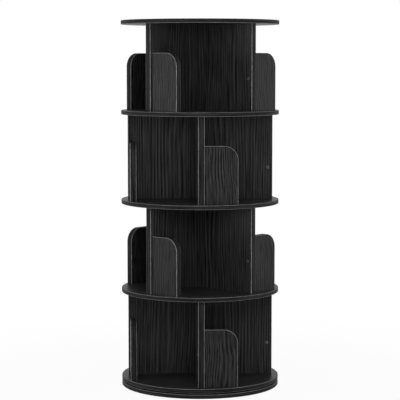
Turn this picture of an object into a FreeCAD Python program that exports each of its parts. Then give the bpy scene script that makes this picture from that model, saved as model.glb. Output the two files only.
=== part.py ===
import FreeCAD, Part
import Sketcher
import os

# Revolving bookcase: round boards on pinwheels of dividers, turning on a roller turntable.
# Millimetres, +Z up, origin on the floor under the middle of the base.

# Driving sizes: alias, value, what it sets
SIZES = [
    ("board_diameter", 460, "round boards, base included"),
    ("shelf_thickness", 12, "round boards of the tower"),
    ("base_thickness", 12, "round board that stays on the floor"),
    ("base_gap", 4, "running gap between base and bottom shelf"),
    ("tier_height", 247.5, "clear height between two round boards"),
    ("tier_turn", 45, "degrees that each tier is turned against the one below"),
    ("divider_length", 211, "from the axis to a divider's outer end"),
    ("divider_thickness", 18, "dividers"),
    ("stop_width", 95, "stop panel, from the divider's face to its free edge"),
    ("stop_height", 165, "stop panel"),
    ("stop_thickness", 18, "stop panel"),
    ("stop_corner", 40, "radius of the stop panel's free upper corner"),
    ("stop_setback", 5, "from a divider's outer end to the stop panel"),
    ("screw_height", 93, "stop panel's screw above the shelf"),
    ("screw_diameter", 8.5, "stop panel's screw"),
    ("screw_length", 48, "stop panel's screw"),
    ("screw_proud", 1, "how far the screw stands out of the divider"),
    ("socket_width", 4, "screw's hexagon socket, across its flats"),
    ("socket_depth", 3, "screw's hexagon socket"),
    ("tenon_thickness", 6, "loose tenons"),
    ("tenon_width", 50, "loose tenons"),
    ("tenon_in_divider", 15, "mortise depth in a divider's edge"),
    ("tenon_in_shelf", 5, "mortise depth in a round board"),
    ("tenon_in_face", 5, "mortise depth in a divider's face"),
    ("tenon_place", 120, "shelf tenon's middle, from the axis"),
    ("tenon_clearance", 0.05, "on every side of a tenon"),
    ("pad_side", 30, "square foot pads"),
    ("pad_thickness", 2, "foot pads"),
    ("pad_inset", 40, "from the base's rim to a pad's middle"),
    ("pad_count", 6, "foot pads"),
    ("plate_side", 200, "square bearing plates"),
    ("plate_thickness", 2, "bearing plates"),
    ("plate_recess", 2.5, "depth of a plate's recess in its board"),
    ("plate_clearance", 0.2, "around a plate in its recess"),
    ("track_radius", 80, "from the axis to a roller's middle"),
    ("roller_length", 14, "rollers"),
    ("roller_count", 8, "rollers"),
    ("roller_clearance", 0.05, "between a roller and each plate"),
    ("cage_rim", 6, "cage beyond the rollers' outer ends"),
    ("cage_thickness", 1.6, "roller cage"),
    ("cage_clearance", 0.2, "around a roller in the cage"),
    ("bolt_diameter", 8, "centre bolt's shank"),
    ("bolt_head_diameter", 18, "centre bolt's flat head"),
    ("bolt_head_height", 3.5, "centre bolt's flat head"),
    ("bolt_head_clearance", 0.2, "around the head in the bottom shelf"),
    ("bolt_clearance", 0.08, "around the shank"),
    ("nut_width", 13, "lock nut, across its flats"),
    ("nut_height", 4, "lock nut"),
    ("nut_end_play", 0.3, "between the lock nut and the base"),
    ("nut_relief", 2, "around the lock nut's corners in the base"),
    ("nut_cover", 0.7, "lock nut's depth inside the base's underside"),
]

TIERS = ["bottom", "lower", "upper", "top"]
SQUARE_SIDES = ["front", "right", "back", "left"]
TURNED_SIDES = ["front_left", "front_right", "back_right", "back_left"]
TOWER_BOARDS = ["bottom_shelf", "lower_shelf", "middle_shelf", "upper_shelf", "top_board"]
BOARDS_PER_TIER = len(SQUARE_SIDES)
FRONT_ANGLE = 270
QUARTER_TURN = 90
FULL_TURN = 360
UP = FreeCAD.Vector(0, 0, 1)

doc = FreeCAD.newDocument("revolving_bookcase")
sheet = doc.addObject("Spreadsheet::Sheet", "sizes")
for row, (alias, number, purpose) in enumerate(SIZES, start=1):
    sheet.set(f"A{row}", purpose)
    sheet.set(f"B{row}", str(number))
    sheet.setAlias(f"B{row}", alias)
doc.recompute()

# Heights and sizes that several pieces share, as rules on the sheet
BASE_Z = "sizes.pad_thickness"
BASE_TOP_Z = f"({BASE_Z} + sizes.base_thickness)"
SHELF_Z = f"({BASE_TOP_Z} + sizes.base_gap)"
PITCH = "(sizes.tier_height + sizes.shelf_thickness)"
LOWER_PLATE_Z = f"({BASE_TOP_Z} - sizes.plate_recess)"
UPPER_PLATE_Z = f"({SHELF_Z} + sizes.plate_recess - sizes.plate_thickness)"
PLATE_GAP = f"({UPPER_PLATE_Z} - {LOWER_PLATE_Z} - sizes.plate_thickness)"
ROLLER_Z = f"({UPPER_PLATE_Z} - {PLATE_GAP} / 2)"
ROLLER_DIAMETER = f"({PLATE_GAP} - 2 * sizes.roller_clearance)"
BOLT_HOLE = "(sizes.bolt_diameter + 2 * sizes.bolt_clearance)"
NUT_Z = f"({BASE_Z} + sizes.nut_cover)"
NUT_POCKET = "(sizes.nut_cover + sizes.nut_height + sizes.nut_end_play)"
FLATS_TO_CORNERS = "cos(30 deg)"
STOP_X = "(sizes.divider_length - sizes.stop_setback - sizes.stop_thickness)"
TENON_Y = "(-sizes.divider_thickness / 2 - sizes.tenon_thickness / 2)"


def amount(rule):
    """A rule on the sheet, worked out as a number."""
    return float(sheet.evalExpression(rule))


def board_z(level):
    """Underside of a round board of the tower: level 0 is the bottom shelf."""
    return f"({SHELF_Z} + {level} * {PITCH})"


def tier_z(tier):
    """Floor of a tier: the upper face of the round board under it."""
    return f"({board_z(tier)} + sizes.shelf_thickness)"


def tier_angles(tier):
    """Directions of a tier's four dividers, in degrees: every second tier is turned."""
    front = FRONT_ANGLE - tier % 2 * amount("sizes.tier_turn")
    return [front + QUARTER_TURN * side for side in range(BOARDS_PER_TIER)]


def tier_sides(tier):
    """Names of a tier's four dividers, in the order of their angles."""
    return TURNED_SIDES if tier % 2 else SQUARE_SIDES


def bind(thing, **rules):
    """Tie an object's properties to the sheet."""
    for name, rule in rules.items():
        thing.setExpression(name, rule)


def turned(angle, x, y, z):
    """A point given along a divider's direction, in the tower's frame."""
    return FreeCAD.Rotation(UP, angle).multVec(FreeCAD.Vector(x, y, z))


def stand(thing, height, angle=0.0):
    """Turn an object about the tower's axis and set the height of its origin by a rule."""
    thing.Placement = FreeCAD.Placement(FreeCAD.Vector(), FreeCAD.Rotation(UP, angle))
    thing.setExpression("Placement.Base.z", height)


def new_body(node):
    body = doc.addObject("PartDesign::Body", node)
    body.Label = node
    return body


def group(node, members):
    """One sub-part made of separate like solids."""
    compound = doc.addObject("Part::Compound", node)
    compound.Label = node
    compound.Links = members
    return compound


def new_sketch(body, name, plane, offset=("0", "0", "0"), angle=0.0):
    """An empty sketch on one of the body's own origin planes, shifted by rules and turned in its plane."""
    sketch = body.newObject("Sketcher::SketchObject", f"{body.Name}_{name}")
    support = [f for f in body.Origin.OriginFeatures if f.Role == plane][0]
    sketch.AttachmentSupport = [(support, "")]
    sketch.MapMode = "FlatFace"
    sketch.AttachmentOffset = FreeCAD.Placement(FreeCAD.Vector(), FreeCAD.Rotation(UP, angle))
    for axis, rule in zip("xyz", offset):
        sketch.setExpression(f"AttachmentOffset.Base.{axis}", rule)
    return sketch


def draw_polygon(sketch, corners):
    """Closed run of lines through corners given as pairs of rules from the sketch's origin."""
    points = [FreeCAD.Vector(amount(x), amount(y), 0) for x, y in corners]
    following = points[1:] + points[:1]
    for start, end in zip(points, following):
        sketch.addGeometry(Part.LineSegment(start, end), False)
    for line in range(len(points)):
        sketch.addConstraint(Sketcher.Constraint("Coincident", line, 2, (line + 1) % len(points), 1))
    for line, (corner, point) in enumerate(zip(corners, points)):
        for kind, rule, value in zip(("DistanceX", "DistanceY"), corner, point):
            number = sketch.addConstraint(Sketcher.Constraint(kind, -1, 1, line, 1, value))
            sketch.setExpression(f"Constraints[{number}]", rule)


def rectangle(body, name, plane, width, height, offset):
    """Sketch of a rectangle: centred on its origin across, and starting at it upwards."""
    sketch = new_sketch(body, name, plane, offset)
    half = f"({width}) / 2"
    draw_polygon(sketch, [(f"-{half}", "0"), (half, "0"), (half, height), (f"-{half}", height)])
    return sketch


def square(body, name, side, height):
    """Sketch of a level square about the body's axis."""
    return rectangle(body, name, "XY_Plane", side, side, ("0", f"-({side}) / 2", height))


def circle(body, name, diameter, height="0"):
    """Sketch of a level circle about the body's axis."""
    sketch = new_sketch(body, name, "XY_Plane", ("0", "0", height))
    across = amount(diameter)
    sketch.addGeometry(Part.Circle(FreeCAD.Vector(), UP, across / 2), False)
    sketch.addConstraint(Sketcher.Constraint("Coincident", 0, 3, -1, 1))
    number = sketch.addConstraint(Sketcher.Constraint("Diameter", 0, across))
    sketch.setExpression(f"Constraints[{number}]", diameter)
    return sketch


def pad(body, sketch, length):
    feature = body.newObject("PartDesign::Pad", f"{sketch.Name}_pad")
    feature.Profile = sketch
    feature.setExpression("Length", length)
    return feature


def pocket(body, sketch, length, along_normal=False):
    """Cut against the sketch's normal, or along it."""
    feature = body.newObject("PartDesign::Pocket", f"{sketch.Name}_cut")
    feature.Profile = sketch
    feature.Reversed = along_normal
    feature.setExpression("Length", length)
    return feature


def ring_of(body, feature, count):
    """Repeat a feature about the body's own Z axis."""
    pattern = body.newObject("PartDesign::PolarPattern", f"{feature.Name}_ring")
    pattern.Originals = [feature]
    axis = [f for f in body.Origin.OriginFeatures if f.Role == "Z_Axis"][0]
    pattern.Axis = (axis, [""])
    pattern.Angle = FULL_TURN
    pattern.Occurrences = count
    body.Tip = pattern


def round_board(node, height, thickness):
    """A round board, standing at its height."""
    body = new_body(node)
    pad(body, circle(body, "rim", "sizes.board_diameter"), thickness)
    stand(body, height)
    return body


def plate_recess(body, height, along_normal):
    """Square recess that holds a bearing plate."""
    side = "sizes.plate_side + 2 * sizes.plate_clearance"
    pocket(body, square(body, "recess", side, height), "sizes.plate_recess", along_normal)


def base_board():
    """The board on the floor, with the lower plate's recess and a way through for bolt and nut."""
    body = round_board("base_board", BASE_Z, "sizes.base_thickness")
    plate_recess(body, "sizes.base_thickness", False)
    pocket(body, circle(body, "bolt_hole", BOLT_HOLE), "sizes.base_thickness", True)
    corners = f"sizes.nut_width / {FLATS_TO_CORNERS} + 2 * sizes.nut_relief"
    pocket(body, circle(body, "nut_pocket", corners), NUT_POCKET, True)
    return body


def tenon_mortises(body, name, height, angle, along_normal):
    """Mortises for one tier's tenons in the upper or lower face of a round board."""
    sketch = new_sketch(body, name, "XY_Plane", ("0", "0", height), angle)
    inner = "sizes.tenon_place - sizes.tenon_width / 2"
    outer = "sizes.tenon_place + sizes.tenon_width / 2"
    high = f"{TENON_Y} + sizes.tenon_thickness"
    draw_polygon(sketch, [(inner, TENON_Y), (outer, TENON_Y), (outer, high), (inner, high)])
    ring_of(body, pocket(body, sketch, "sizes.tenon_in_shelf", along_normal), BOARDS_PER_TIER)


def bottom_shelf_cuts(body):
    """The upper plate's recess, the centre bolt's hole and the seat of its head."""
    plate_recess(body, "0", True)
    pocket(body, circle(body, "bolt_hole", BOLT_HOLE), "sizes.shelf_thickness", True)
    seat = "sizes.bolt_head_diameter + 2 * sizes.bolt_head_clearance"
    pocket(body, circle(body, "head_seat", seat, "sizes.shelf_thickness"), "sizes.bolt_head_height")


def tower_boards():
    """The round boards of the tower, mortised for the tiers over and under each."""
    boards = []
    for level, node in enumerate(TOWER_BOARDS):
        body = round_board(node, board_z(level), "sizes.shelf_thickness")
        if level == 0:
            bottom_shelf_cuts(body)
        if level < len(TIERS):
            tenon_mortises(body, "upper_mortise", "sizes.shelf_thickness", tier_angles(level)[0], False)
        if level > 0:
            tenon_mortises(body, "lower_mortise", "0", tier_angles(level - 1)[0], True)
        boards.append(body)
    return boards


def divider(node, tier, angle):
    """A divider along its own +X from the axis, its thickness on the -Y side, with its four mortises."""
    body = new_body(node)
    plan = new_sketch(body, "plan", "XY_Plane")
    back = "-sizes.divider_thickness"
    draw_polygon(plan, [("0", back), ("sizes.divider_length", back), ("sizes.divider_length", "0"), ("0", "0")])
    pad(body, plan, "sizes.tier_height")
    for name, height, along_normal in (("foot", "0", True), ("head", "sizes.tier_height", False)):
        edge = rectangle(body, name, "XY_Plane", "sizes.tenon_width", "sizes.tenon_thickness",
                         ("sizes.tenon_place", TENON_Y, height))
        pocket(body, edge, "sizes.tenon_in_divider", along_normal)
    start = "(sizes.tier_height - sizes.tenon_width) / 2"
    end = rectangle(body, "end", "YZ_Plane", "sizes.tenon_thickness", "sizes.tenon_width",
                    ("-sizes.divider_thickness / 2", start, "0"))
    pocket(body, end, "sizes.tenon_in_divider", True)
    face = rectangle(body, "face", "XZ_Plane", "sizes.tenon_thickness", "sizes.tenon_width",
                     ("sizes.divider_thickness / 2", start, "0"))
    pocket(body, face, "sizes.tenon_in_face", True)
    stand(body, tier_z(tier), angle)
    return body


def stop_panel(node, tier, angle):
    """A stop panel square to its divider, with the free upper corner rounded."""
    body = new_body(node)
    width = "sizes.stop_width"
    height = "sizes.stop_height"
    outline = new_sketch(body, "outline", "YZ_Plane", ("0", "0", STOP_X))
    draw_polygon(outline, [("0", "0"), (width, "0"), (width, height), ("0", height)])
    blank = pad(body, outline, "sizes.stop_thickness")
    doc.recompute()
    outermost = max(edge.CenterOfMass.y + edge.CenterOfMass.z for edge in blank.Shape.Edges)
    corner = [number for number, edge in enumerate(blank.Shape.Edges, start=1)
              if edge.CenterOfMass.y + edge.CenterOfMass.z == outermost]
    rounding = body.newObject("PartDesign::Fillet", f"{node}_corner")
    rounding.Base = (blank, [f"Edge{corner[0]}"])
    rounding.setExpression("Radius", "sizes.stop_corner")
    stand(body, tier_z(tier), angle)
    return body


def tiers():
    """Dividers and stop panels of all tiers."""
    pieces = []
    for tier, tier_name in enumerate(TIERS):
        for side, angle in zip(tier_sides(tier), tier_angles(tier)):
            pieces.append(divider(f"{tier_name}_divider_{side}", tier, angle))
            pieces.append(stop_panel(f"{tier_name}_stop_{side}", tier, angle))
    return pieces


def hexagon(name, width, height):
    """An upright six-sided prism, its width given across the flats."""
    prism = doc.addObject("Part::Prism", name)
    prism.Polygon = 6
    bind(prism, Circumradius=f"{width} / 2 / {FLATS_TO_CORNERS}", Height=height)
    return prism


def block(name, length, width, height, angle, corner):
    """A loose tenon with its lowest corner given by rules along its divider."""
    tenon = doc.addObject("Part::Box", name)
    play = "2 * sizes.tenon_clearance"
    bind(tenon, Length=f"{length} - {play}", Width=f"{width} - {play}", Height=f"{height} - {play}")
    place = [amount(f"{rule} + sizes.tenon_clearance") for rule in corner]
    tenon.Placement = FreeCAD.Placement(turned(angle, *place), FreeCAD.Rotation(UP, angle))
    return tenon


def shelf_tenons():
    """Loose tenons at the foot and the head of every divider."""
    x = "sizes.tenon_place - sizes.tenon_width / 2"
    tall = "sizes.tenon_in_divider + sizes.tenon_in_shelf"
    blocks = []
    for tier, tier_name in enumerate(TIERS):
        ends = {"foot": f"{tier_z(tier)} - sizes.tenon_in_shelf",
                "head": f"{board_z(tier + 1)} - sizes.tenon_in_divider"}
        for side, angle in zip(tier_sides(tier), tier_angles(tier)):
            for end, z in ends.items():
                blocks.append(block(f"{tier_name}_{side}_{end}_tenon", "sizes.tenon_width",
                                    "sizes.tenon_thickness", tall, angle, (x, TENON_Y, z)))
    return group("shelf_tenons", blocks)


def divider_tenons():
    """Loose tenons at the axis, from each divider's inner end into its neighbour's face."""
    long = "sizes.tenon_in_divider + sizes.tenon_in_face"
    blocks = []
    for tier, tier_name in enumerate(TIERS):
        z = f"{tier_z(tier)} + (sizes.tier_height - sizes.tenon_width) / 2"
        for side, angle in zip(tier_sides(tier), tier_angles(tier)):
            blocks.append(block(f"{tier_name}_{side}_axis_tenon", long, "sizes.tenon_thickness",
                                "sizes.tenon_width", angle, ("-sizes.tenon_in_face", TENON_Y, z)))
    return group("divider_tenons", blocks)


def stop_screw(name, place):
    """A one-diameter furniture screw along its own +Z, with a hexagon socket in its outer end."""
    shank = doc.addObject("Part::Cylinder", f"{name}_shank")
    bind(shank, Radius="sizes.screw_diameter / 2", Height="sizes.screw_length")
    socket = hexagon(f"{name}_socket", "sizes.socket_width", "sizes.socket_depth")
    whole = doc.addObject("Part::Cut", name)
    whole.Base = shank
    whole.Tool = socket
    whole.Placement = place
    return whole


def stop_screws():
    """One screw through each divider into the end of its stop panel."""
    x = amount(f"{STOP_X} + sizes.stop_thickness / 2")
    y = amount("-sizes.divider_thickness - sizes.screw_proud")
    through = FreeCAD.Rotation(UP, FreeCAD.Vector(0, 1, 0))
    screws = []
    for tier, tier_name in enumerate(TIERS):
        z = amount(f"{tier_z(tier)} + sizes.screw_height")
        for side, angle in zip(tier_sides(tier), tier_angles(tier)):
            aim = FreeCAD.Rotation(UP, angle).multiply(through)
            place = FreeCAD.Placement(turned(angle, x, y, z), aim)
            screws.append(stop_screw(f"{tier_name}_{side}_stop_screw", place))
    return group("stop_screws", screws)


def bearing_plate(node, height):
    """A square steel plate with a hole for the centre bolt."""
    body = new_body(node)
    pad(body, square(body, "outline", "sizes.plate_side", "0"), "sizes.plate_thickness")
    pocket(body, circle(body, "bolt_hole", BOLT_HOLE), "sizes.plate_thickness", True)
    stand(body, height)
    return body


def bearing_rollers():
    """Rollers that lie between the plates, each pointing at the axis."""
    rollers = []
    count = int(amount("sizes.roller_count"))
    start = amount("sizes.track_radius - sizes.roller_length / 2")
    outwards = FreeCAD.Rotation(UP, FreeCAD.Vector(1, 0, 0))
    for number in range(count):
        angle = FULL_TURN * number / count
        roller = doc.addObject("Part::Cylinder", f"roller_{number}")
        bind(roller, Radius=f"{ROLLER_DIAMETER} / 2", Height="sizes.roller_length")
        aim = FreeCAD.Rotation(UP, angle).multiply(outwards)
        roller.Placement = FreeCAD.Placement(turned(angle, start, 0, amount(ROLLER_Z)), aim)
        rollers.append(roller)
    return group("bearing_rollers", rollers)


def roller_cage():
    """Flat disc, centred on the bolt, with a slot for each roller."""
    body = new_body("roller_cage")
    across = "2 * (sizes.track_radius + sizes.roller_length / 2 + sizes.cage_rim)"
    pad(body, circle(body, "rim", across), "sizes.cage_thickness")
    pocket(body, circle(body, "bolt_hole", BOLT_HOLE), "sizes.cage_thickness", True)
    long = "sizes.roller_length + 2 * sizes.cage_clearance"
    wide = f"({ROLLER_DIAMETER} + 2 * sizes.cage_clearance)"
    slot = rectangle(body, "slot", "XY_Plane", long, wide, ("sizes.track_radius", f"-{wide} / 2", "0"))
    ring_of(body, pocket(body, slot, "sizes.cage_thickness", True), int(amount("sizes.roller_count")))
    stand(body, f"{ROLLER_Z} - sizes.cage_thickness / 2")
    return body


def centre_bolt():
    """The bolt that centres the turntable, its head let into the bottom shelf under the dividers."""
    body = new_body("centre_bolt")
    top = f"({tier_z(0)} - {NUT_Z})"
    under_head = f"({top} - sizes.bolt_head_height)"
    shank = "sizes.bolt_diameter / 2"
    head = "sizes.bolt_head_diameter / 2"
    profile = new_sketch(body, "profile", "XZ_Plane")
    draw_polygon(profile, [("0", "0"), (shank, "0"), (shank, under_head), (head, under_head), (head, top),
                           ("0", top)])
    revolved = body.newObject("PartDesign::Revolution", "centre_bolt_revolved")
    revolved.Profile = profile
    revolved.ReferenceAxis = (profile, ["V_Axis"])
    revolved.Angle = FULL_TURN
    stand(body, NUT_Z)
    return body


def lock_nut():
    """The nut on the bolt's end, let into the underside of the base with room to turn."""
    blank = hexagon("lock_nut_blank", "sizes.nut_width", "sizes.nut_height")
    thread = doc.addObject("Part::Cylinder", "lock_nut_thread")
    bind(thread, Radius="sizes.bolt_diameter / 2", Height="sizes.nut_height")
    nut = doc.addObject("Part::Cut", "lock_nut")
    nut.Label = "lock_nut"
    nut.Base = blank
    nut.Tool = thread
    stand(nut, NUT_Z)
    return nut


def turntable():
    return [
        bearing_plate("lower_bearing_plate", LOWER_PLATE_Z),
        bearing_plate("upper_bearing_plate", UPPER_PLATE_Z),
        bearing_rollers(),
        roller_cage(),
        centre_bolt(),
        lock_nut(),
    ]


def foot_pads():
    """Square pads under the base, in a ring."""
    pads = []
    count = int(amount("sizes.pad_count"))
    inner = amount("sizes.board_diameter / 2 - sizes.pad_inset - sizes.pad_side / 2")
    half = amount("sizes.pad_side / 2")
    for number in range(count):
        angle = FULL_TURN * number / count
        foot = doc.addObject("Part::Box", f"foot_pad_{number}")
        bind(foot, Length="sizes.pad_side", Width="sizes.pad_side", Height="sizes.pad_thickness")
        foot.Placement = FreeCAD.Placement(turned(angle, inner, -half, 0), FreeCAD.Rotation(UP, angle))
        pads.append(foot)
    return group("foot_pads", pads)


sub_parts = [foot_pads(), base_board()] + turntable() + tower_boards() + tiers()
sub_parts += [stop_screws(), shelf_tenons(), divider_tenons()]
doc.recompute()

for thing in doc.Objects:
    if "Invalid" in thing.State or "Error" in thing.State:
        raise RuntimeError(f"{thing.Label} failed: {thing.State}")
for piece in sub_parts:
    if piece.Shape.isNull() or not piece.Shape.isValid():
        raise RuntimeError(f"{piece.Label} has no valid shape")

os.makedirs("parts", exist_ok=True)
for piece in sub_parts:
    piece.Shape.exportStep(f"parts/{piece.Label}.step")
    print(f"{piece.Label}: {len(piece.Shape.Solids)} solids, {piece.Shape.Volume / 1000:.2f} cm3")
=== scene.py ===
"""Revolving bookcase: banded boards, hardware, finishes and studio, built around the packed CAD frame."""

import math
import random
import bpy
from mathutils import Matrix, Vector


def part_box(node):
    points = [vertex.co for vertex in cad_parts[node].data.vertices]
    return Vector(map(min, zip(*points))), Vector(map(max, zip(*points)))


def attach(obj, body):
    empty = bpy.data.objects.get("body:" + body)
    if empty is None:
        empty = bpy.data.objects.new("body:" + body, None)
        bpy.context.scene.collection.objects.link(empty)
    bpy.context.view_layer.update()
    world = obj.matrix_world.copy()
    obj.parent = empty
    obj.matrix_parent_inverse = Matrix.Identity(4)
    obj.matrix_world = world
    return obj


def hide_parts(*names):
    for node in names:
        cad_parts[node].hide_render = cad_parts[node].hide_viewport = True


bl_info = {
    "name": "Revolving Bookcase",
    "version": (1, 0, 0),
    "blender": (4, 5, 0),
    "location": "View3D > Sidebar > Bookcase",
    "description": "Builds the boards, hardware, finishes and studio of a revolving bookcase",
    "category": "Object",
}

import bmesh
import bpy
from bpy.props import FloatProperty, FloatVectorProperty, IntProperty, PointerProperty
from mathutils import Matrix, Vector

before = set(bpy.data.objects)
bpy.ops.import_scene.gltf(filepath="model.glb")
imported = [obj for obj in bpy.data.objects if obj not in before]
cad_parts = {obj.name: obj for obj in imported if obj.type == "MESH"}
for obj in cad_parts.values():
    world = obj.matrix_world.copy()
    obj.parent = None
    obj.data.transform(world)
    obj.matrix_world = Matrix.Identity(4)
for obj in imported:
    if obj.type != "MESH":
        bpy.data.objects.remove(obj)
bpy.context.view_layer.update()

# How the tower is put together, from the floor up
TIERS = ("bottom", "lower", "upper", "top")
SQUARE_SIDES = ("front", "right", "back", "left")
TURNED_SIDES = ("front_left", "front_right", "back_right", "back_left")
TOWER_BOARDS = ("bottom_shelf", "lower_shelf", "middle_shelf", "upper_shelf", "top_board")
FRONT_ANGLE = math.radians(270)
TIER_TURN = math.radians(45)
QUARTER_TURN = math.radians(90)
FULL_TURN = math.radians(360)

# Faces that meet at more than this angle keep a crisp edge between them
SHARP_ANGLE = math.radians(35)
# Place of the edge band's finish on a board
BAND = 1
# Side of the sheet that every board's grain is taken from, at a place of its own, in metres
SHEET_SIDE = 3.0
# How many times as long the dividers' grain is as the stop panels' grain
STRAIGHT_GRAIN = 2.2
# Flats of a screw's socket
FLATS = 6
# Reflection of the laminate and the edge band, which are nearly matt
MATT_SPECULAR = 0.07
WHITE = (1.0, 1.0, 1.0, 1.0)


def tier_sides(tier):
    """The names and directions of a tier's four dividers."""
    names = TURNED_SIDES if tier % 2 else SQUARE_SIDES
    first = FRONT_ANGLE - tier % 2 * TIER_TURN
    return [(name, first + QUARTER_TURN * number) for number, name in enumerate(names)]


def span(node):
    """Width, depth and height of a CAD node."""
    low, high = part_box(node)
    return high - low


def box_along(node, angle):
    """Lowest and highest corner of a CAD node, measured along a divider's own directions."""
    turn_back = Matrix.Rotation(-angle, 3, "Z")
    points = [turn_back @ vertex.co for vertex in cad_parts[node].data.vertices]
    low = Vector([min(point[axis] for point in points) for axis in range(3)])
    high = Vector([max(point[axis] for point in points) for axis in range(3)])
    return low, high


def length(name, description, default):
    """A property that holds a length in metres."""
    return FloatProperty(name=name, description=description, default=default, min=0.0, precision=5,
                         subtype="DISTANCE", unit="LENGTH")


def lens_size(name, description, default):
    """A property that holds a camera's size in millimetres."""
    return FloatProperty(name=name, description=description, default=default, min=1.0,
                         subtype="DISTANCE_CAMERA", unit="CAMERA")


def turn(name, description, degrees):
    """A property that holds an angle."""
    return FloatProperty(name=name, description=description, default=math.radians(degrees),
                         subtype="ANGLE", unit="ROTATION")


def share(name, description, default):
    """A property that holds a number from 0 to 1."""
    return FloatProperty(name=name, description=description, default=default, min=0.0, max=1.0,
                         subtype="FACTOR")


def amount(name, description, default):
    """A property that holds a number of any size from 0."""
    return FloatProperty(name=name, description=description, default=default, min=0.0)


def count(name, description, default, lowest):
    """A property that holds a whole number."""
    return IntProperty(name=name, description=description, default=default, min=lowest)


def repeats(name, description, default):
    """A property that holds repeats in a metre across the grain, through it and along it."""
    return FloatVectorProperty(name=name, description=description, default=default, min=0.0,
                               subtype="XYZ", size=3)


def colour(name, description, default):
    """A property that holds a linear colour."""
    return FloatVectorProperty(name=name, description=description, default=default, min=0.0, max=1.0,
                               subtype="COLOR", size=3)


class BoardSizes(bpy.types.PropertyGroup):
    """Edges and cut-outs of the boards."""

    arris: length("Arris", "Rounding of the edge band's corners", 0.0016)
    seam_inset: length("Seam inset", "Joint of band and laminate, from the board's edge", 0.0023)
    seam_depth: length("Seam depth", "Depth and half width of that joint", 0.00015)
    # The rims' pale trim and painted highlight, as a share of those on the panels' corners
    rim_trim_and_highlight: share("Rim wear", "How pale the rims' corners are beside the panels' corners", 0.7)
    arris_steps: count("Arris steps", "Facets across a rounded arris", 5, 1)
    rim_steps: count("Rim steps", "Facets round a board's rim", 192, 12)
    corner_steps: count("Corner steps", "Facets round a stop panel's corner", 20, 3)
    hole_steps: count("Hole steps", "Facets round a hole", 40, 12)
    stop_corner: length("Stop corner", "Radius of a stop panel's free upper corner", 0.040)
    plate_recess: length("Plate recess", "Depth of a bearing plate's recess", 0.0025)
    plate_clearance: length("Plate clearance", "Room round a bearing plate", 0.0002)
    bolt_hole: length("Bolt hole", "Radius of the centre bolt's hole", 0.00408)
    head_seat: length("Head seat", "Radius of the bolt head's seat", 0.0092)
    head_depth: length("Head depth", "Depth of the bolt head's seat", 0.0035)
    nut_pocket: length("Nut pocket", "Radius of the lock nut's pocket", 0.0095)
    nut_depth: length("Nut depth", "Depth of the lock nut's pocket", 0.005)


class HardwareSizes(bpy.types.PropertyGroup):
    """Stop screws and foot pads."""

    screw_height: length("Screw height", "Stop screw's middle above the shelf", 0.093)
    screw_diameter: length("Screw diameter", "Stop screw's head", 0.0085)
    screw_shank: length("Screw shank", "Stop screw's shank", 0.007)
    screw_length: length("Screw length", "Stop screw, end to end", 0.048)
    screw_proud: length("Screw proud", "How far the head stands out of the divider", 0.001)
    screw_tip: share("Screw tip", "Width of the blunt tip beside the shank's width", 1 / 3)
    head_depth: length("Head depth", "Head, from its outer face to the shank", 0.003)
    head_chamfer: length("Head chamfer", "Chamfer round the head's outer face", 0.0004)
    socket_width: length("Socket width", "Hexagon socket across its flats", 0.004)
    socket_depth: length("Socket depth", "Hexagon socket", 0.003)
    flat_steps: count("Flat steps", "Facets along each flat of the socket", 5, 1)
    pad_side: length("Pad side", "Foot pad", 0.030)
    pad_corner: length("Pad corner", "Radius of a foot pad's corners", 0.004)
    pad_corner_steps: count("Pad corner steps", "Facets round a foot pad's corner", 10, 2)
    pad_arris: length("Pad arris", "Rounding of a foot pad's edges", 0.0006)
    pad_arris_steps: count("Pad arris steps", "Facets across a foot pad's rounded edge", 3, 1)
    pad_count: count("Pads", "Foot pads under the base", 6, 3)


class LaminateGrain(bpy.types.PropertyGroup):
    """Grain of the black laminate."""

    lines: amount("Lines", "Grain lines in a metre across the boards", 113.0)
    arches: amount("Arches", "Arches of the lines in a metre across the boards", 6.0)
    arch_bend: amount("Arch bend", "How strongly the lines bend in an arch", 8.0)
    arch_drift: amount("Arch drift", "How far the drift moves the arches, in arches", 0.3)
    lean: amount("Lean", "Lines that the grain leans over in a metre along it", 2.5)
    drift: amount("Drift", "How far the drift moves the lines, in lines", 1.6)
    waviness: amount("Waviness", "How far the lines wander, in lines", 4.2)
    fray: amount("Fray", "How far single fibres stray from their line, in lines", 0.7)
    strength: share("Strength", "How strong a line is on the whole", 0.5)
    broken: amount("Broken", "How much its strength rises and falls along it", 3.6)
    ground: share("Ground", "Tone between the lines, from the dark colour to the light one", 0.41)
    light_line: share("Light line", "What a light line adds to the tone", 0.34)
    light_strand: share("Light strand", "What each strand in a light line adds", 0.6)
    dark_line: share("Dark line", "What a dark line takes from the tone", 0.66)
    dark_strand: share("Dark strand", "What each strand in a dark line gives back", 0.42)
    strand: share("Strand", "What each strand adds anywhere", 0.16)
    fleck: share("Fleck", "What a fleck takes from the tone", 0.34)
    pore: share("Pore", "Share of the tone that a pore takes", 0.3)
    dark_pore: share("Dark pore", "What it takes besides in a dark line", 0.5)
    drift_repeats: repeats("Drift repeats", "Slow drift of the whole grain", (8.0, 8.0, 2.0))
    fibre_repeats: repeats("Fibre repeats", "Fibres that make the strands", (1000.0, 1000.0, 14.0))
    wander_repeats: repeats("Wander repeats", "Waves of the lines", (11.0, 11.0, 6.0))
    break_repeats: repeats("Break repeats", "Strong and weak stretches of the lines", (113.0, 113.0, 11.0))
    pore_repeats: repeats("Pore repeats", "Fine pores", (1300.0, 1300.0, 45.0))
    fleck_repeats: repeats("Fleck repeats", "Dark flecks", (330.0, 330.0, 22.0))


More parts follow.
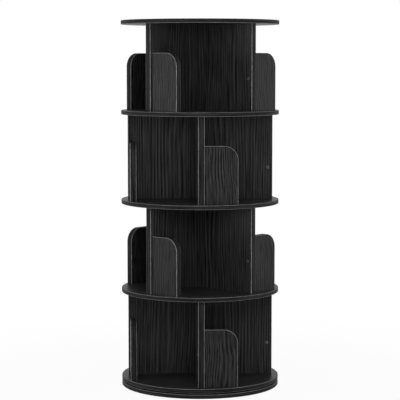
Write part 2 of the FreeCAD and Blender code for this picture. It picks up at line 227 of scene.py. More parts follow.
class FinishColours(bpy.types.PropertyGroup):
    """Colours of the finishes."""

    laminate_dark: colour("Laminate dark", "Dark grain of the black laminate", (0.0035, 0.0034, 0.0035))
    laminate_light: colour("Laminate light", "Light grain of the black laminate", (0.036, 0.036, 0.037))
    band_dark: colour("Band dark", "Dark streaks of the edge band", (0.004, 0.004, 0.0041))
    band_light: colour("Band light", "Light streaks of the edge band", (0.022, 0.022, 0.0225))
    # Pale colour on the band's rounded corners: partly its trimmed edge, partly a painted highlight in place
    # of the lamps' reflection
    arris_trim_and_highlight: colour("Arris", "Trimmed corners of the edge band", (0.23, 0.23, 0.235))
    screw_steel: colour("Screw steel", "Blackened screws", (0.15, 0.151, 0.156))
    zinc: colour("Zinc", "Plates, bolt and nut", (0.56, 0.57, 0.58))
    nylon: colour("Nylon", "Rollers and cage", (0.66, 0.63, 0.55))
    beech: colour("Beech", "Loose tenons", (0.42, 0.24, 0.115))
    rubber: colour("Rubber", "Foot pads", (0.02, 0.02, 0.021))
    floor: colour("Floor", "Studio floor", (0.55, 0.55, 0.55))


class StudioSettings(bpy.types.PropertyGroup):
    """Camera, floor and even light."""

    distance: length("Camera distance", "From the tower's axis, level", 4.5244)
    eye_height: length("Camera height", "Above the floor", 0.954)
    azimuth: turn("Camera azimuth", "Camera round the tower from its front", -3.5)
    pitch: turn("Camera pitch", "Camera's tilt below level", 5.171)
    focal: lens_size("Focal length", "Camera's lens", 139.41)
    sensor: lens_size("Sensor width", "Camera's sensor", 36.0)
    ambient: share("Ambient", "Studio's even light on matt surfaces", 0.2)
    white_floor: share("White floor", "How much of the floor's shade is hidden from the camera", 0.95)
    shade_near: length("Shade near", "The floor shows its shade up to this far from the tower's axis", 0.3)
    shade_far: length("Shade far", "The floor is plain white from this far on", 1.4)
    floor_side: length("Floor side", "Square studio floor", 40.0)


class Signal:
    """A shader value: arithmetic on it adds Math nodes to its tree."""

    def __init__(self, net, socket):
        self.net = net
        self.socket = socket

    def __add__(self, other):
        return self.net.maths("ADD", self, other)

    def __radd__(self, other):
        return self.net.maths("ADD", other, self)

    def __sub__(self, other):
        return self.net.maths("SUBTRACT", self, other)

    def __rsub__(self, other):
        return self.net.maths("SUBTRACT", other, self)

    def __mul__(self, other):
        return self.net.maths("MULTIPLY", self, other)

    def __rmul__(self, other):
        return self.net.maths("MULTIPLY", other, self)


class Net:
    """One node tree, and the ways to add to it."""

    def __init__(self, tree):
        self.tree = tree
        tree.nodes.clear()

    def node(self, kind, settings=None, sockets=None, output=0):
        """Add a node: its settings first, then the values or links of its sockets."""
        made = self.tree.nodes.new(kind)
        for name, value in (settings or {}).items():
            setattr(made, name, value)
        for name, value in (sockets or {}).items():
            if isinstance(value, Signal):
                self.tree.links.new(value.socket, made.inputs[name])
            else:
                made.inputs[name].default_value = value
        return Signal(self, made.outputs[output]) if len(made.outputs) else None

    def maths(self, operation, *values):
        """One step of arithmetic on numbers."""
        return self.node("ShaderNodeMath", {"operation": operation}, dict(enumerate(values)))

    def attribute(self, name, output):
        """A layer of the mesh."""
        return self.node("ShaderNodeAttribute", {"attribute_name": name}, output=output)

    def place(self):
        """The piece's own coordinates in metres."""
        return self.node("ShaderNodeTexCoord", output="Object")

    def split(self, vector):
        """The three numbers of a vector."""
        made = self.node("ShaderNodeSeparateXYZ", sockets={"Vector": vector}).socket.node
        return [Signal(self, socket) for socket in made.outputs]

    def noise(self, vector, per_metre, detail=2.0):
        """Noise from 0 to 1 with so many repeats in a metre along each axis."""
        scaled = self.node("ShaderNodeVectorMath", {"operation": "MULTIPLY"}, {0: vector, 1: per_metre})
        return self.node("ShaderNodeTexNoise", {"noise_dimensions": "3D"},
                         {"Vector": scaled, "Scale": 1.0, "Detail": detail})

    def even_noise(self, vector, per_metre, detail=2.0):
        """Noise with the same repeats along all axes."""
        return self.noise(vector, (per_metre, per_metre, per_metre), detail)

    def ramp(self, value, low, high):
        """0 at low, 1 at high and smooth between."""
        return self.node("ShaderNodeMapRange", {"interpolation_type": "SMOOTHSTEP"},
                         {"Value": value, "From Min": low, "From Max": high})

    def mix(self, factor, first, second):
        """Blend two colours."""
        return self.node("ShaderNodeMix", {"data_type": "RGBA"}, {0: factor, 6: first, 7: second},
                         output=2)

    def bump(self, height, strength, distance):
        """Small relief that follows a height, over a distance in metres."""
        return self.node("ShaderNodeBump",
                         sockets={"Height": height, "Strength": strength, "Distance": distance})

    def surface(self, sockets):
        """Close a material with one Principled shader."""
        shader = self.node("ShaderNodeBsdfPrincipled", sockets=sockets)
        self.node("ShaderNodeOutputMaterial", sockets={"Surface": shader})


def new_finish(name):
    """An empty material and its node net."""
    material = bpy.data.materials.new(name)
    material.use_nodes = True
    return material, Net(material.node_tree)


def opaque(rgb, brightness=1.0):
    """A colour for a socket, made darker or brighter."""
    return (*[brightness * part for part in rgb], 1.0)


def finish_of(name, build):
    """A finish by name, built the first time that it is asked for."""
    return bpy.data.materials.get(name) or build(name, bpy.context.scene.bookcase_colours)


def black_laminate(name, colours):
    """Black wood-grain laminate: wavy broken lines of strands along the grain, dark flecks and pores."""
    figure = bpy.context.scene.bookcase_grain
    material, net = new_finish(name)
    grain = net.attribute("grain", "Vector")
    across, _, along = net.split(grain)

    drift = net.noise(grain, figure.drift_repeats) - 0.5
    off_centre = net.maths("FRACT", across * figure.arches + drift * figure.arch_drift) - 0.5
    arches = off_centre * off_centre * figure.arch_bend + along * figure.lean + drift * figure.drift
    fibres = net.noise(grain, figure.fibre_repeats) - 0.5
    strands = net.ramp(fibres, low=-0.09, high=0.09)
    wander = net.noise(grain, figure.wander_repeats, detail=1.0) * figure.waviness + fibres * figure.fray
    waves = net.maths("SINE", (across * figure.lines + arches + wander) * FULL_TURN)
    breaks = net.noise(grain, figure.break_repeats, detail=1.0) - 0.5
    pores = net.ramp(net.noise(grain, figure.pore_repeats), low=0.56, high=0.68)
    flecks = net.ramp(net.noise(grain, figure.fleck_repeats, detail=1.0), low=0.52, high=0.64)

    lines = waves * (figure.strength + breaks * figure.broken)
    light = net.ramp(lines, low=0.1, high=0.7)
    dark = net.ramp(lines, low=-0.1, high=-0.7)
    lifted = figure.ground + light * (figure.light_line + strands * figure.light_strand)
    lined = lifted - dark * (figure.dark_line - strands * figure.dark_strand)
    tone = lined + strands * figure.strand - flecks * figure.fleck
    open_tone = tone * (1.0 - pores * (figure.pore + dark * figure.dark_pore))
    net.surface({
        "Base Color": net.mix(open_tone, opaque(colours.laminate_dark), opaque(colours.laminate_light)),
        "Roughness": 0.38 + pores * 0.1 - light * 0.03,
        "Specular IOR Level": MATT_SPECULAR,
        "Normal": net.bump(tone * 0.5 - pores, strength=0.08, distance=0.0002),
    })
    return material


def black_edge_band(name, colours):
    """Black edge band: fine streaks along the edge, paler where its corners are trimmed."""
    material, net = new_finish(name)
    grain = net.attribute("grain", "Vector")
    trim_and_highlight = net.attribute("trim_and_highlight", "Fac")
    streaks = net.noise(grain, (420.0, 420.0, 9.0))
    scuffs = net.noise(grain, (300.0, 300.0, 60.0), detail=3.0)
    light = net.ramp(streaks, low=0.36, high=0.66)
    wood = net.mix(light, opaque(colours.band_dark), opaque(colours.band_light))
    # Painted highlight, partly pale trim: the rounded corners blend towards the pale colour, broken up by
    # the scuffs
    corner = trim_and_highlight * (0.55 + net.ramp(scuffs, low=0.3, high=0.7) * 0.45)
    net.surface({
        "Base Color": net.mix(corner, wood, opaque(colours.arris_trim_and_highlight)),
        "Roughness": 0.52 + scuffs * 0.1 - trim_and_highlight * 0.12,
        "Specular IOR Level": MATT_SPECULAR,
        "Normal": net.bump(streaks, strength=0.06, distance=0.0002),
    })
    return material


def blackened_steel(name, colours):
    """Screws: dark oxide in soft patches, with a fine grainy skin."""
    material, net = new_finish(name)
    place = net.place()
    patches = net.even_noise(place, 600.0, detail=3.0)
    specks = net.even_noise(place, 4000.0)
    worn = net.ramp(patches, low=0.3, high=0.7)
    net.surface({
        "Base Color": net.mix(worn, opaque(colours.screw_steel, 0.55), opaque(colours.screw_steel)),
        "Metallic": 0.85,
        "Roughness": 0.27 + patches * 0.2,
        "Normal": net.bump(specks, strength=0.1, distance=0.00005),
    })
    return material


def zinc_plate(name, colours):
    """Zinc-plated steel: soft spangle with rolled streaks."""
    material, net = new_finish(name)
    place = net.place()
    spangle = net.node("ShaderNodeTexVoronoi", {"feature": "F1"}, {"Vector": place, "Scale": 260.0},
                       output="Distance")
    streaks = net.noise(place, (40.0, 1500.0, 1500.0))
    light = spangle * 0.6 + streaks * 0.4
    net.surface({
        "Base Color": net.mix(light, opaque(colours.zinc, 0.78), opaque(colours.zinc)),
        "Metallic": 1.0,
        "Roughness": 0.3 + streaks * 0.18,
        "Normal": net.bump(streaks, strength=0.08, distance=0.00005),
    })
    return material


def natural_nylon(name, colours):
    """Rollers and cage: milky plastic with a faint moulded mottle."""
    material, net = new_finish(name)
    place = net.place()
    mottle = net.even_noise(place, 90.0, detail=3.0)
    specks = net.even_noise(place, 2500.0)
    net.surface({
        "Base Color": net.mix(mottle, opaque(colours.nylon, 0.86), opaque(colours.nylon)),
        "Roughness": 0.42 + mottle * 0.15,
        "Normal": net.bump(specks, strength=0.1, distance=0.00005),
    })
    return material


def bare_beech(name, colours):
    """Loose tenons: plain wood with short dark flecks."""
    material, net = new_finish(name)
    place = net.place()
    fibres = net.noise(place, (500.0, 500.0, 25.0), detail=3.0)
    flecks = net.ramp(net.noise(place, (900.0, 900.0, 160.0)), low=0.6, high=0.7)
    light = (1.0 - flecks) * fibres
    net.surface({
        "Base Color": net.mix(light, opaque(colours.beech, 0.6), opaque(colours.beech)),
        "Roughness": 0.6 + fibres * 0.15,
        "Normal": net.bump(fibres, strength=0.2, distance=0.0001),
    })
    return material


def black_rubber(name, colours):
    """Foot pads: matt rubber with a fine cast skin."""
    material, net = new_finish(name)
    place = net.place()
    dust = net.even_noise(place, 150.0, detail=4.0)
    skin = net.even_noise(place, 3000.0)
    dusty = net.ramp(dust, low=0.45, high=0.75)
    net.surface({
        "Base Color": net.mix(dusty, opaque(colours.rubber), opaque(colours.rubber, 1.9)),
        "Roughness": 0.72 + dust * 0.2,
        "Normal": net.bump(skin, strength=0.2, distance=0.00008),
    })
    return material


def finished_mesh(name, work):
    """The mesh of a bmesh that is done: faces outwards, smooth up to the sharp edges."""
    bmesh.ops.recalc_face_normals(work, faces=work.faces[:])
    mesh = bpy.data.meshes.new(name)
    work.to_mesh(mesh)
    work.free()
    mesh.shade_smooth()
    mesh.set_sharp_from_angle(angle=SHARP_ANGLE)
    return mesh


class Shape:
    """A solid in the making, in its own directions u, v and w, with the layers that the finishes read."""

    def __init__(self, lay, seed):
        self.mesh = bmesh.new()
        self.grain = self.mesh.loops.layers.float_vector.new("grain")
        # Share of pale trim and painted highlight on the band's rounded corners
        self.trim_and_highlight = self.mesh.loops.layers.float.new("trim_and_highlight")
        self.lay = lay
        draw = random.Random(seed)
        self.offset = Vector([draw.uniform(0.0, SHEET_SIDE) for _ in range(3)])

    def vertex(self, u, v, w):
        """A new vertex."""
        return self.mesh.verts.new((u, v, w))

    def paint_flat(self, face):
        """Give a flat face the grain of the board's laminate."""
        for loop in face.loops:
            loop[self.grain] = self.offset + self.lay(loop.vert.co)

    def flat(self, corners):
        """A flat face."""
        self.paint_flat(self.mesh.faces.new(corners))

    def flat_between(self, outer, inner):
        """A flat face with a hole, between two closed loops of vertices."""
        edges = [self.mesh.edges.get(pair) or self.mesh.edges.new(pair)
                 for loop in (outer, inner) for pair in zip(loop, loop[1:] + loop[:1])]
        filled = bmesh.ops.triangle_fill(self.mesh, edges=edges, use_beauty=True)
        for item in filled["geom"]:
            if isinstance(item, bmesh.types.BMFace):
                self.paint_flat(item)

    def loop(self, points, w):
        """A loop of new vertices on one level."""
        return [self.vertex(u, v, w) for u, v in points]

    def wall(self, first, second):
        """Straight wall between two like loops."""
        around = range(len(first))
        for here, there in zip(around, list(around[1:]) + [0]):
            self.flat([first[here], first[there], second[there], second[here]])

    def band(self, path, profile, closed):
        """Sweep an edge profile along a path of points with outward normals, its grain along the path."""
        rows = [[self.vertex(*(point - outward * inset), depth) for depth, inset, _ in profile]
                for point, outward in path]
        ends = list(zip(path, path[1:] + path[:1])) if closed else list(zip(path, path[1:]))
        travelled = 0.0
        for number, ((point, _), (following, _)) in enumerate(ends):
            step = (following - point).length
            near, far = rows[number], rows[(number + 1) % len(rows)]
            for k in range(len(profile) - 1):
                face = self.mesh.faces.new([near[k], far[k], far[k + 1], near[k + 1]])
                face.material_index = BAND
                places = [(k, 0.0), (k, step), (k + 1, step), (k + 1, 0.0)]
                for loop, (level, ahead) in zip(face.loops, places):
                    depth, inset, trim_and_highlight = profile[level]
                    loop[self.grain] = self.offset + Vector((depth, inset, travelled + ahead))
                    # Share of pale trim and painted highlight, for the band's finish
                    loop[self.trim_and_highlight] = trim_and_highlight
            travelled += step
        return rows

    def to_mesh(self, name, place):
        """The finished mesh, set in its place."""
        self.mesh.transform(place)
        return finished_mesh(name, self.mesh)


def rounded_edge(thickness, radius, steps, seam=None, trim_and_highlight=1.0):
    """Profile of an edge from face to face, as depth, inset and wear: seam, arris, side, arris, seam."""
    half = []
    if seam:
        inset, depth = seam
        half = [(0.0, inset + depth, 0.0), (depth, inset, 0.0), (0.0, inset - depth, 0.0)]
    for step in range(steps + 1):
        angle = QUARTER_TURN * step / steps
        # Pale trim and painted highlight, strongest in the middle of the arris
        trim_and_highlight_share = trim_and_highlight * math.sqrt(abs(math.sin(2 * angle)))
        half.append((radius * (1 - math.cos(angle)), radius * (1 - math.sin(angle)), trim_and_highlight_share))
    return half + [(thickness - depth, inset, trim_and_highlight_share) for depth, inset, trim_and_highlight_share in reversed(half)]


def banded_edge(thickness, sizes, trim_and_highlight=1.0):
    """Profile of a board's banded edge."""
    seam = (sizes.seam_inset, sizes.seam_depth)
    return rounded_edge(thickness, sizes.arris, sizes.arris_steps, seam, trim_and_highlight)


def circle_points(radius, steps):
    """Points round a circle."""
    angles = [FULL_TURN * step / steps for step in range(steps)]
    return [Vector((radius * math.cos(angle), radius * math.sin(angle))) for angle in angles]


def square_points(side):
    """Corners of a square."""
    half = side / 2
    return [Vector(corner) for corner in ((-half, -half), (half, -half), (half, half), (-half, half))]


def hexagon_points(width, steps):
    """Points round a hexagon of that width across its flats, as many along each flat as steps says."""
    corners = circle_points(width / 2 / math.cos(FULL_TURN / FLATS / 2), FLATS)
    points = []
    for here, there in zip(corners, corners[1:] + corners[:1]):
        points += [here.lerp(there, step / steps) for step in range(steps)]
    return points


def arc_path(centre, radius, start, sweep, steps):
    """Points of an arc with their outward normals."""
    path = []
    for step in range(steps + 1):
        angle = start + sweep * step / steps
        outward = Vector((math.cos(angle), math.sin(angle)))
        path.append((centre + outward * radius, outward))
    return path


def new_piece(name, mesh, finishes, body, nodes):
    """A visual piece that rides on a body and stands for CAD nodes."""
    for finish in finishes:
        mesh.materials.append(finish)
    piece = bpy.data.objects.new(name, mesh)
    bpy.context.scene.collection.objects.link(piece)
    crisp = piece.modifiers.new("crisp_faces", "WEIGHTED_NORMAL")
    crisp.keep_sharp = True
    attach(piece, body)
    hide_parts(*nodes)
    return piece


def board_finishes():
    """Laminate on the faces and, as BAND, the band round the edges."""
    return [finish_of("black_laminate_grain", black_laminate), finish_of("black_edge_band", black_edge_band)]


def lay_level(place):
    """Laminate on a round board: the grain runs along u."""
    return Vector((place.y, place.z, place.x))


def lay_stop(place):
    """Laminate on a stop panel: the grain runs along v."""
    return Vector((place.x, place.z, place.y))


def lay_divider(place):
    """Laminate on a divider: a straighter grain along v."""
    return Vector((place.x, place.z, place.y / STRAIGHT_GRAIN))


def round_board(node, body, bore=()):
    """A round board with a banded rim. A bore is a run of outlines with heights above the underside."""
    sizes = bpy.context.scene.bookcase_boards
    board = span(node)
    shape = Shape(lay_level, node)
    path = [(point, point.normalized()) for point in circle_points(board.x / 2, sizes.rim_steps)]
    # The rim gets a weaker pale trim and painted highlight on its arrises
    rows = shape.band(path, banded_edge(board.z, sizes, sizes.rim_trim_and_highlight), closed=True)
    underside = [row[0] for row in rows]
    upper_side = [row[-1] for row in rows]
    if bore:
        loops = [shape.loop(points, height) for points, height in bore]
        shape.flat_between(underside, loops[0])
        for (_, here), (_, there), first, second in zip(bore, bore[1:], loops, loops[1:]):
            if here == there:
                shape.flat_between(first, second)
            else:
                shape.wall(first, second)
        shape.flat_between(upper_side, loops[-1])
    else:
        shape.flat(underside)
        shape.flat(upper_side)
    low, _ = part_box(node)
    mesh = shape.to_mesh(f"{node}_finished", Matrix.Translation((0.0, 0.0, low.z)))
    new_piece(f"{node}_finished", mesh, board_finishes(), body, [node])


def bore_run(*stages):
    """Outlines of a stepped bore: each stage is its points with the heights where it starts and ends."""
    return [(points, height) for points, start, end in stages for height in (start, end)]


def plate_outline(plate, sizes):
    """Outline of the recess round a bearing plate."""
    return square_points(span(plate).x + 2 * sizes.plate_clearance)


def base_bore(sizes):
    """From the underside: the lock nut's pocket, the bolt's hole and the lower plate's recess."""
    thickness = span("base_board").z
    ledge = thickness - sizes.plate_recess
    return bore_run((circle_points(sizes.nut_pocket, sizes.hole_steps), 0.0, sizes.nut_depth),
                    (circle_points(sizes.bolt_hole, sizes.hole_steps), sizes.nut_depth, ledge),
                    (plate_outline("lower_bearing_plate", sizes), ledge, thickness))


def bottom_shelf_bore(sizes):
    """From the underside: the upper plate's recess, the bolt's hole and the seat of its head."""
    thickness = span("bottom_shelf").z
    ledge = thickness - sizes.head_depth
    return bore_run((plate_outline("upper_bearing_plate", sizes), 0.0, sizes.plate_recess),
                    (circle_points(sizes.bolt_hole, sizes.hole_steps), sizes.plate_recess, ledge),
                    (circle_points(sizes.head_seat, sizes.hole_steps), ledge, thickness))


def panel(node, lay, path, corners, thickness, place):
    """An upright panel: a banded edge along the path, and plain cut edges through the other corners."""
    sizes = bpy.context.scene.bookcase_boards
    shape = Shape(lay, node)
    rows = shape.band(path, banded_edge(thickness, sizes), closed=False)
    near = shape.loop(corners, 0.0)
    far = shape.loop(corners, thickness)
    shape.flat([row[0] for row in rows] + near)
    shape.flat([row[-1] for row in rows] + far)
    shape.flat(rows[-1] + [far[0], near[0]])
    shape.flat(rows[0] + [far[-1], near[-1]])
    for k in range(len(corners) - 1):
        shape.flat([near[k], near[k + 1], far[k + 1], far[k]])
    mesh = shape.to_mesh(f"{node}_finished", place)
    new_piece(f"{node}_finished", mesh, board_finishes(), "tower", [node])


def divider(node, angle):
    """A divider, banded on its outer end. u runs outwards, v up and w through its thickness."""
    low, high = box_along(node, angle)
    long = high.x - low.x
    tall = high.z - low.z
    outwards = Vector((1.0, 0.0))
    path = [(Vector((long, 0.0)), outwards), (Vector((long, tall)), outwards)]
    corners = [(0.0, tall), (0.0, 0.0)]
    axes = Matrix(((1, 0, 0, low.x), (0, 0, 1, low.y), (0, 1, 0, low.z), (0, 0, 0, 1)))
    panel(node, lay_divider, path, corners, high.y - low.y, Matrix.Rotation(angle, 4, "Z") @ axes)


def stop_panel(node, angle):
    """A stop panel, banded round its free edge. u runs away from its divider, v up and w outwards."""
    sizes = bpy.context.scene.bookcase_boards
    low, high = box_along(node, angle)
    wide = high.y - low.y
    tall = high.z - low.z
    radius = sizes.stop_corner
    centre = Vector((wide - radius, tall - radius))
    corner = arc_path(centre, radius, 0.0, QUARTER_TURN, sizes.corner_steps)
    path = [(Vector((wide, 0.0)), corner[0][1])] + corner + [(Vector((0.0, tall)), corner[-1][1])]
    axes = Matrix(((0, 0, 1, low.x), (1, 0, 0, low.y), (0, 1, 0, low.z), (0, 0, 0, 1)))
    panel(node, lay_stop, path, [(0.0, 0.0)], high.x - low.x, Matrix.Rotation(angle, 4, "Z") @ axes)


def socket_screw(mesh, sizes, place):
    """Add one screw to a mesh: chamfered head with a hexagon socket, then the shank. It points along +Z."""
    around = FLATS * sizes.flat_steps
    head = sizes.screw_diameter / 2
    shank = sizes.screw_shank / 2
    levels = [
        (hexagon_points(sizes.socket_width, sizes.flat_steps), sizes.socket_depth),
        (hexagon_points(sizes.socket_width, sizes.flat_steps), sizes.head_chamfer / 2),
        (hexagon_points(sizes.socket_width + sizes.head_chamfer, sizes.flat_steps), 0.0),
        (circle_points(head - sizes.head_chamfer, around), 0.0),
        (circle_points(head, around), sizes.head_chamfer),
        (circle_points(head, around), sizes.screw_proud + sizes.head_chamfer),
        (circle_points(shank, around), sizes.head_depth),
        (circle_points(shank, around), sizes.screw_length - sizes.head_depth),
        (circle_points(shank * sizes.screw_tip, around), sizes.screw_length),
    ]
    loops = [[mesh.verts.new(place @ Vector((*point, height))) for point in points]
             for points, height in levels]
    mesh.faces.new(loops[0])
    mesh.faces.new(loops[-1])
    for first, second in zip(loops, loops[1:]):
        for k in range(around):
            following = (k + 1) % around
            mesh.faces.new([first[k], first[following], second[following], second[k]])


def socket_screws():
    """All stop screws as one piece."""
    sizes = bpy.context.scene.bookcase_hardware
    work = bmesh.new()
    for tier, tier_name in enumerate(TIERS):
        for side, angle in tier_sides(tier):
            stop_low, stop_high = box_along(f"{tier_name}_stop_{side}", angle)
            divider_low, _ = box_along(f"{tier_name}_divider_{side}", angle)
            outer_end = Vector(((stop_low.x + stop_high.x) / 2, divider_low.y - sizes.screw_proud,
                                stop_low.z + sizes.screw_height))
            through = Matrix.Translation(outer_end) @ Matrix.Rotation(-QUARTER_TURN, 4, "X")
            socket_screw(work, sizes, Matrix.Rotation(angle, 4, "Z") @ through)
    mesh = finished_mesh("stop_screws_finished", work)
    new_piece("stop_screws_finished", mesh, [finish_of("blackened_steel", blackened_steel)], "tower",
              ["stop_screws"])


def foot_pad(number, angle, radius):
    """One rounded foot pad under the base."""
    sizes = bpy.context.scene.bookcase_hardware
    shape = Shape(lay_level, f"foot_pad_{number}")
    reach = sizes.pad_side / 2 - sizes.pad_corner
    path = []
    for quarter in range(4):
        start = QUARTER_TURN * quarter
        centre = Matrix.Rotation(start, 2) @ Vector((reach, reach))
        path += arc_path(centre, sizes.pad_corner, start, QUARTER_TURN, sizes.pad_corner_steps)
    edge = rounded_edge(span("foot_pads").z, sizes.pad_arris, sizes.pad_arris_steps)
    rows = shape.band(path, edge, closed=True)
    shape.flat([row[0] for row in rows])
    shape.flat([row[-1] for row in rows])
    low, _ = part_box("foot_pads")
    place = Matrix.Rotation(angle, 4, "Z") @ Matrix.Translation((radius, 0.0, low.z))
    return shape.to_mesh(f"foot_pad_{number}", place)


def foot_pads():
    """All foot pads as one piece, with rubber on faces and edges alike."""
    sizes = bpy.context.scene.bookcase_hardware
    _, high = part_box("foot_pads")
    radius = high.x - sizes.pad_side / 2
    joined = bmesh.new()
    for number in range(sizes.pad_count):
        pad = foot_pad(number, FULL_TURN * number / sizes.pad_count, radius)
        joined.from_mesh(pad)
        bpy.data.meshes.remove(pad)
    mesh = bpy.data.meshes.new("foot_pads_finished")
    joined.to_mesh(mesh)
    joined.free()
    new_piece("foot_pads_finished", mesh, [finish_of("black_rubber", black_rubber)] * 2, "base",
              ["foot_pads"])


def dress(node, finish):
    """Give a CAD node that stays a better finish."""
    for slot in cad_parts[node].material_slots:
        slot.material = finish


def seen_directly(net):
    """1 for the camera and for mirrored or refracted views, 0 for light on matt surfaces."""
    rays = net.node("ShaderNodeLightPath").socket.node
    kinds = ("Is Camera Ray", "Is Glossy Ray", "Is Transmission Ray")
    camera, glossy, through = [Signal(net, rays.outputs[kind]) for kind in kinds]
    return net.maths("MAXIMUM", net.maths("MAXIMUM", camera, glossy), through)


def studio_world(settings):
    """White all round to look at, softer as light."""
    world = bpy.data.worlds.new("studio_world")
    world.use_nodes = True
    net = Net(world.node_tree)
    seen = seen_directly(net)
    strength = seen + (1.0 - seen) * settings.ambient
    shader = net.node("ShaderNodeBackground", sockets={"Color": WHITE, "Strength": strength})
    net.node("ShaderNodeOutputWorld", sockets={"Surface": shader})
    bpy.context.scene.world = world


def studio_floor(settings):
    """Pale floor that keeps a faint shadow."""
    material, net = new_finish("studio_floor")
    pale = opaque(bpy.context.scene.bookcase_colours.floor)
    matt = net.node("ShaderNodeBsdfDiffuse", sockets={"Color": pale})
    white = net.node("ShaderNodeEmission", sockets={"Color": WHITE, "Strength": 1.0})
    from_axis = net.node("ShaderNodeVectorMath", {"operation": "LENGTH"}, {0: net.place()}, output="Value")
    fade = net.ramp(from_axis, settings.shade_near, settings.shade_far)
    plain = settings.white_floor + fade * (1.0 - settings.white_floor)
    mixed = net.node("ShaderNodeMixShader", sockets={0: seen_directly(net) * plain, 1: matt, 2: white})
    net.node("ShaderNodeOutputMaterial", sockets={"Surface": mixed})
    mesh = bpy.data.meshes.new("studio_floor")
    corners = [(*point, 0.0) for point in square_points(settings.floor_side)]
    mesh.from_pydata(corners, [], [(0, 1, 2, 3)])
    mesh.materials.append(material)
    floor = bpy.data.objects.new("studio_floor", mesh)
    bpy.context.scene.collection.objects.link(floor)


# Softboxes: name, place, aim, width, height, watts, and whether polished surfaces mirror it
SOFTBOXES = (
    ("left_softbox", (-2.4, -0.2, 0.75), (0.0, 0.0, 0.75), 1.6, 1.2, 18.0, True),
    ("right_softbox", (2.4, -0.2, 0.75), (0.0, 0.0, 0.75), 1.6, 1.2, 10.0, True),
    ("overhead_softbox", (0.0, -1.5, 2.4), (0.0, 0.0, 0.9), 2.0, 1.0, 8.0, True),
    ("front_softbox", (0.0, -1.8, 1.1), (0.0, 0.0, 0.9), 1.0, 0.7, 17.0, False),
    ("low_softbox", (0.0, -2.2, 0.35), (0.0, 0.0, 0.3), 1.0, 0.4, 8.0, False),
    ("back_softbox", (0.0, 1.8, 1.4), (0.0, 0.0, 0.95), 1.0, 0.7, 15.0, False),
)


def studio_lights():
    """The softboxes, each turned to its aim."""
    for name, place, aim, wide, tall, watts, mirrored in SOFTBOXES:
        lamp = bpy.data.lights.new(name, "AREA")
        lamp.shape = "RECTANGLE"
        lamp.size = wide
        lamp.size_y = tall
        lamp.energy = watts
        stand = bpy.data.objects.new(name, lamp)
        stand.location = place
        stand.rotation_euler = (Vector(aim) - Vector(place)).to_track_quat("-Z", "Y").to_euler()
        stand.visible_glossy = mirrored
        bpy.context.scene.collection.objects.link(stand)


def studio_camera(settings):
    """The camera, at the photograph's viewing angle."""
    lens = bpy.data.cameras.new("studio_camera")
    lens.lens = settings.focal
    lens.sensor_width = settings.sensor
    camera = bpy.data.objects.new("studio_camera", lens)
    camera.location = (math.sin(settings.azimuth) * settings.distance,
                       -math.cos(settings.azimuth) * settings.distance, settings.eye_height)
    camera.rotation_euler = (QUARTER_TURN - settings.pitch, 0.0, settings.azimuth)
    bpy.context.scene.collection.objects.link(camera)
    bpy.context.scene.camera = camera


class BOOKCASE_OT_round_boards(bpy.types.Operator):
    """Build the base, the shelves and the top board with banded rims"""

    bl_idname = "bookcase.round_boards"
    bl_label = "Round boards"

    def execute(self, context):
        sizes = context.scene.bookcase_boards
        bores = {"bottom_shelf": bottom_shelf_bore(sizes)}
        round_board("base_board", "base", base_bore(sizes))
        for node in TOWER_BOARDS:
            round_board(node, "tower", bores.get(node, ()))
        return {"FINISHED"}


class BOOKCASE_OT_dividers(bpy.types.Operator):
    """Build the dividers of all tiers"""

    bl_idname = "bookcase.dividers"
    bl_label = "Dividers"

    def execute(self, context):
        for tier, tier_name in enumerate(TIERS):
            for side, angle in tier_sides(tier):
                divider(f"{tier_name}_divider_{side}", angle)
        return {"FINISHED"}


class BOOKCASE_OT_stop_panels(bpy.types.Operator):
    """Build the stop panels of all tiers"""

    bl_idname = "bookcase.stop_panels"
    bl_label = "Stop panels"

    def execute(self, context):
        for tier, tier_name in enumerate(TIERS):
            for side, angle in tier_sides(tier):
                stop_panel(f"{tier_name}_stop_{side}", angle)
        return {"FINISHED"}


class BOOKCASE_OT_stop_screws(bpy.types.Operator):
    """Build the socket screws that hold the stop panels"""

    bl_idname = "bookcase.stop_screws"
    bl_label = "Stop screws"

    def execute(self, context):
        socket_screws()
        return {"FINISHED"}


class BOOKCASE_OT_foot_pads(bpy.types.Operator):
    """Build the pads under the base"""

    bl_idname = "bookcase.foot_pads"
    bl_label = "Foot pads"

    def execute(self, context):
        foot_pads()
        return {"FINISHED"}


class BOOKCASE_OT_turntable(bpy.types.Operator):
    """Finish the plates, bolt, nut, rollers and cage"""

    bl_idname = "bookcase.turntable"
    bl_label = "Turntable"

    def execute(self, context):
        for node in ("lower_bearing_plate", "upper_bearing_plate", "centre_bolt", "lock_nut"):
            dress(node, finish_of("zinc_plate", zinc_plate))
        for node in ("bearing_rollers", "roller_cage"):
            dress(node, finish_of("natural_nylon", natural_nylon))
        return {"FINISHED"}


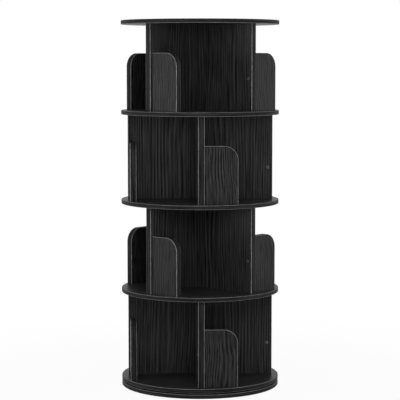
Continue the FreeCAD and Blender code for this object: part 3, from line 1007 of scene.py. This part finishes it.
class BOOKCASE_OT_tenons(bpy.types.Operator):
    """Finish the loose tenons"""

    bl_idname = "bookcase.tenons"
    bl_label = "Tenons"

    def execute(self, context):
        for node in ("shelf_tenons", "divider_tenons"):
            dress(node, finish_of("bare_beech", bare_beech))
        return {"FINISHED"}


class BOOKCASE_OT_studio(bpy.types.Operator):
    """Set up the floor, the light and the camera"""

    bl_idname = "bookcase.studio"
    bl_label = "Studio"

    def execute(self, context):
        settings = context.scene.bookcase_studio
        context.scene.view_settings.view_transform = "Standard"
        studio_world(settings)
        studio_floor(settings)
        studio_lights()
        studio_camera(settings)
        return {"FINISHED"}


STEPS = (BOOKCASE_OT_round_boards, BOOKCASE_OT_dividers, BOOKCASE_OT_stop_panels, BOOKCASE_OT_stop_screws,
         BOOKCASE_OT_foot_pads, BOOKCASE_OT_turntable, BOOKCASE_OT_tenons, BOOKCASE_OT_studio)
SETTINGS = {"bookcase_boards": BoardSizes, "bookcase_hardware": HardwareSizes,
            "bookcase_grain": LaminateGrain, "bookcase_colours": FinishColours,
            "bookcase_studio": StudioSettings}


class BOOKCASE_PT_sidebar(bpy.types.Panel):
    """Lists the steps and their settings"""

    bl_idname = "BOOKCASE_PT_sidebar"
    bl_label = "Revolving Bookcase"
    bl_space_type = "VIEW_3D"
    bl_region_type = "UI"
    bl_category = "Bookcase"

    def draw(self, context):
        for step in STEPS:
            self.layout.operator(step.bl_idname)
        for name, group in SETTINGS.items():
            column = self.layout.column(heading=group.__doc__)
            for setting in group.__annotations__:
                column.prop(getattr(context.scene, name), setting)


def register():
    """Make the settings, steps and panel known to Blender."""
    for item in (*SETTINGS.values(), *STEPS, BOOKCASE_PT_sidebar):
        bpy.utils.register_class(item)
    for name, group in SETTINGS.items():
        setattr(bpy.types.Scene, name, PointerProperty(type=group))


def unregister():
    """Take them out again."""
    for name in SETTINGS:
        delattr(bpy.types.Scene, name)
    for item in (BOOKCASE_PT_sidebar, *reversed(STEPS), *SETTINGS.values()):
        bpy.utils.unregister_class(item)


def main():
    """Build everything, step by step."""
    register()
    for step in STEPS:
        group, name = step.bl_idname.split(".")
        getattr(getattr(bpy.ops, group), name)()


if __name__ == "__main__":
    main()
